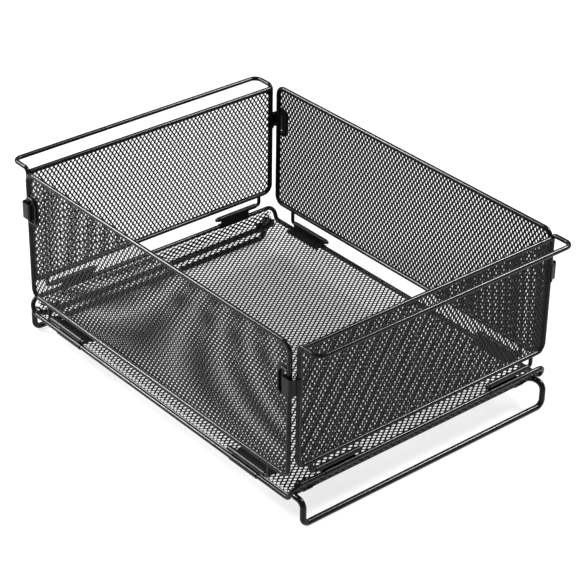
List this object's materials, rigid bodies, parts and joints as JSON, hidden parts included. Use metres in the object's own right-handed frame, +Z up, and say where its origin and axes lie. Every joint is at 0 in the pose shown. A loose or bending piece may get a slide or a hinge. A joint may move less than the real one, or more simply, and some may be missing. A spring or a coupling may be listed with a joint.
{
  "type": "collapsible mesh desk basket",
  "caption": "Black steel wire and expanded-mesh basket with fold-down side and end walls, corner hooks, carrying rails and folding feet.",
  "frame": {"origin": "on the surface the basket stands on, under the middle of the basket", "axes": "+Z up, +X along the long side towards the right carrying rail, +Y towards the back wall"},
  "size_m": [0.4646, 0.3256, 0.1909],
  "materials": {
    "frame_wire": "satin",
    "mesh_sheet": "satin",
    "hinge_sheet": "satin",
    "foot_wire": "satin"
  },
  "bodies": {
    "base": {"base_frame": "frame_wire", "base_mesh": "mesh_sheet", "sleeve_front_left": "hinge_sheet", "sleeve_front_right": "hinge_sheet", "sleeve_back_left": "hinge_sheet", "sleeve_back_right": "hinge_sheet", "sleeve_left_front": "hinge_sheet", "sleeve_left_back": "hinge_sheet", "sleeve_right_front": "hinge_sheet", "sleeve_right_back": "hinge_sheet", "saddle_left_front": "hinge_sheet", "saddle_left_back": "hinge_sheet", "saddle_right_front": "hinge_sheet", "saddle_right_back": "hinge_sheet"},
    "wall_front": {"wall_front_frame": "frame_wire", "wall_front_mesh": "mesh_sheet", "wall_front_rod_left": "frame_wire", "wall_front_keeper_left": "frame_wire", "wall_front_rod_right": "frame_wire", "wall_front_keeper_right": "frame_wire"},
    "wall_back": {"wall_back_frame": "frame_wire", "wall_back_mesh": "mesh_sheet", "wall_back_rod_left": "frame_wire", "wall_back_keeper_left": "frame_wire", "wall_back_rod_right": "frame_wire", "wall_back_keeper_right": "frame_wire"},
    "end_left": {"end_left_frame": "frame_wire", "end_left_top_rail": "frame_wire", "end_left_mesh": "mesh_sheet", "end_left_rod_front": "frame_wire", "end_left_hook_front": "hinge_sheet", "end_left_rod_back": "frame_wire", "end_left_hook_back": "hinge_sheet"},
    "end_right": {"end_right_frame": "frame_wire", "end_right_top_rail": "frame_wire", "end_right_mesh": "mesh_sheet", "end_right_rod_front": "frame_wire", "end_right_hook_front": "hinge_sheet", "end_right_rod_back": "frame_wire", "end_right_hook_back": "hinge_sheet"},
    "foot_left": {"foot_left": "foot_wire"},
    "foot_right": {"foot_right": "foot_wire"}
  },
  "joints": [
    {"name": "wall_front_fold", "type": "hinge", "parent": "base", "child": "wall_front", "pos_m": [0, -0.158, 0.036], "axis": [-1, 0, 0], "range_deg": [0, 90]},
    {"name": "wall_back_fold", "type": "hinge", "parent": "base", "child": "wall_back", "pos_m": [0, 0.158, 0.036], "axis": [1, 0, 0], "range_deg": [0, 90]},
    {"name": "end_left_fold", "type": "hinge", "parent": "base", "child": "end_left", "pos_m": [-0.2052, 0, 0.0508], "axis": [0, 1, 0], "range_deg": [0, 90], "deforming": ["end_left_hook_front", "end_left_hook_back"]},
    {"name": "end_right_fold", "type": "hinge", "parent": "base", "child": "end_right", "pos_m": [0.2052, 0, 0.0508], "axis": [0, -1, 0], "range_deg": [0, 90], "deforming": ["end_right_hook_front", "end_right_hook_back"]},
    {"name": "foot_left_fold", "type": "hinge", "parent": "base", "child": "foot_left", "pos_m": [-0.1947, 0, 0.0272], "axis": [0, -1, 0], "range_deg": [0, 120]},
    {"name": "foot_right_fold", "type": "hinge", "parent": "base", "child": "foot_right", "pos_m": [0.1947, 0, 0.0272], "axis": [0, 1, 0], "range_deg": [0, 120]}
  ]
}
